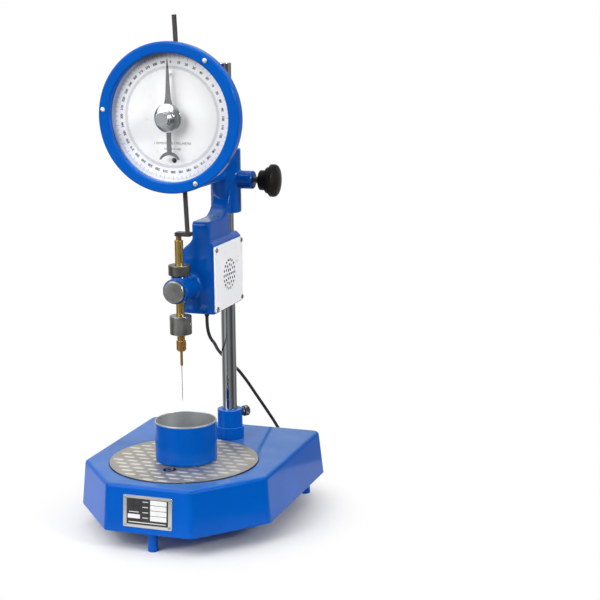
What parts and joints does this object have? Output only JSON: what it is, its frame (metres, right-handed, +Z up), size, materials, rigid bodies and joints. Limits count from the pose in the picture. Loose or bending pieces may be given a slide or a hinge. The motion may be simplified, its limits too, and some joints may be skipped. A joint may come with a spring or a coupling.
{
  "type": "laboratory penetrometer",
  "caption": "Laboratory penetrometer with a cast base and round table plate, a chromed column, a sliding head with release button, a falling needle plunger and a rack-driven dial.",
  "frame": {"origin": "on the bench under the middle of the base's foot line", "axes": "+Z up, -Y out of the dial's face towards the user, +X to the user's right"},
  "size_m": [0.24, 0.3654, 0.6003],
  "materials": {
    "blue_iron": "gloss",
    "blue_alloy": "gloss",
    "blue_steel": "gloss",
    "table_alloy": "satin",
    "bright_steel": "satin",
    "chromed_steel": "polished",
    "brass": "satin",
    "grey_alloy": "satin",
    "white_alloy": "satin",
    "black_bakelite": "satin",
    "black_plastic": "matte",
    "black_sheath": "satin",
    "copper": "satin"
  },
  "bodies": {
    "base": {"base_casting": "blue_iron", "foot_front": "blue_iron", "foot_left": "blue_iron", "foot_right": "blue_iron", "table_plate": "table_alloy", "plate_screws": "bright_steel", "nameplate": "grey_alloy", "nameplate_rivets": "bright_steel", "column_socket": "blue_iron", "socket_bolts": "bright_steel"},
    "cup": {"sample_cup": "blue_steel"},
    "thumbscrew": {"socket_thumbscrew": "bright_steel"},
    "column": {"column": "chromed_steel", "cable_drop": "black_sheath", "cable_coil": "black_sheath", "cable_tie": "black_plastic", "cable_plug": "black_plastic"},
    "head": {"head_casting": "blue_alloy", "side_cover": "white_alloy", "cover_screws": "bright_steel", "clamp_pad": "brass", "guide_nut": "bright_steel", "spindle_bush": "brass", "release_spring": "bright_steel", "solenoid_coil": "copper", "solenoid_frame": "bright_steel", "dial_case": "blue_alloy", "case_screws": "bright_steel", "dial_plate": "white_alloy", "dial_screws": "bright_steel", "bezel": "blue_alloy", "bezel_screws": "chromed_steel", "arbor_bushes": "brass", "rack_bush_top": "brass", "rack_bush_bottom": "brass", "cable_gland": "black_plastic"},
    "clamp": {"clamp_screw": "bright_steel", "clamp_knob": "black_bakelite"},
    "plunger": {"plunger_spindle": "brass", "spindle_cap": "copper", "chuck": "grey_alloy", "chuck_screw": "bright_steel", "needle_holder": "brass", "needle_ferrule": "brass", "needle": "chromed_steel"},
    "rack": {"rack_rod": "bright_steel", "rack_foot": "bright_steel"},
    "arbor": {"pointer_arbor": "bright_steel", "pinion": "brass"},
    "pointer": {"pointer": "bright_steel", "zero_knob": "chromed_steel"},
    "release": {"release_button": "bright_steel", "clutch_rod": "bright_steel", "armature": "bright_steel"}
  },
  "joints": [
    {"name": "cup_slide", "type": "slide", "parent": "base", "child": "cup", "axis": [0, -1, 0], "range_m": [-0.02, 0.02]},
    {"name": "thumbscrew_turn", "type": "hinge", "parent": "base", "child": "thumbscrew", "pos_m": [0.017, 0.076, 0.109], "axis": [0.5736, 0.8192, 0], "range_deg": [0, 360]},
    {"name": "column_turn", "type": "hinge", "parent": "base", "child": "column", "pos_m": [0.017, 0.076, 0.2], "axis": [0, 0, 1], "range_deg": [-10, 10]},
    {"name": "head_slide", "type": "slide", "parent": "column", "child": "head", "axis": [0, 0, 1], "range_m": [-0.022, 0.095], "deforming": ["cable_drop"]},
    {"name": "clamp_turn", "type": "hinge", "parent": "head", "child": "clamp", "pos_m": [0.06, 0.076, 0.40204], "axis": [1, 0, 0], "range_deg": [0, 360]},
    {"name": "plunger_drop", "type": "slide", "parent": "head", "child": "plunger", "axis": [0, 0, 1], "range_m": [-0.033, 0.015]},
    {"name": "rack_slide", "type": "slide", "parent": "head", "child": "rack", "axis": [-0.0419, 0, 0.9991], "range_m": [-0.0335, 0.0155]},
    {"name": "arbor_turn", "type": "hinge", "parent": "head", "child": "arbor", "pos_m": [0, -0.032, 0.486], "axis": [0, 1, 0], "range_deg": [-138, 300]},
    {"name": "pointer_set", "type": "hinge", "parent": "arbor", "child": "pointer", "pos_m": [0, -0.052, 0.486], "axis": [0, 1, 0], "range_deg": [-180, 180]},
    {"name": "release_press", "type": "slide", "parent": "head", "child": "release", "axis": [0, 1, 0], "range_m": [0, 0.003], "stiffness_N_per_m": 1000, "springref_m": -0.002, "deforming": ["release_spring"]}
  ],
  "couplings": [
    {"joint": "rack_slide", "follows": "plunger_drop", "ratio": 1},
    {"joint": "arbor_turn", "follows": "plunger_drop", "rad_per_m": -157.08}
  ]
}
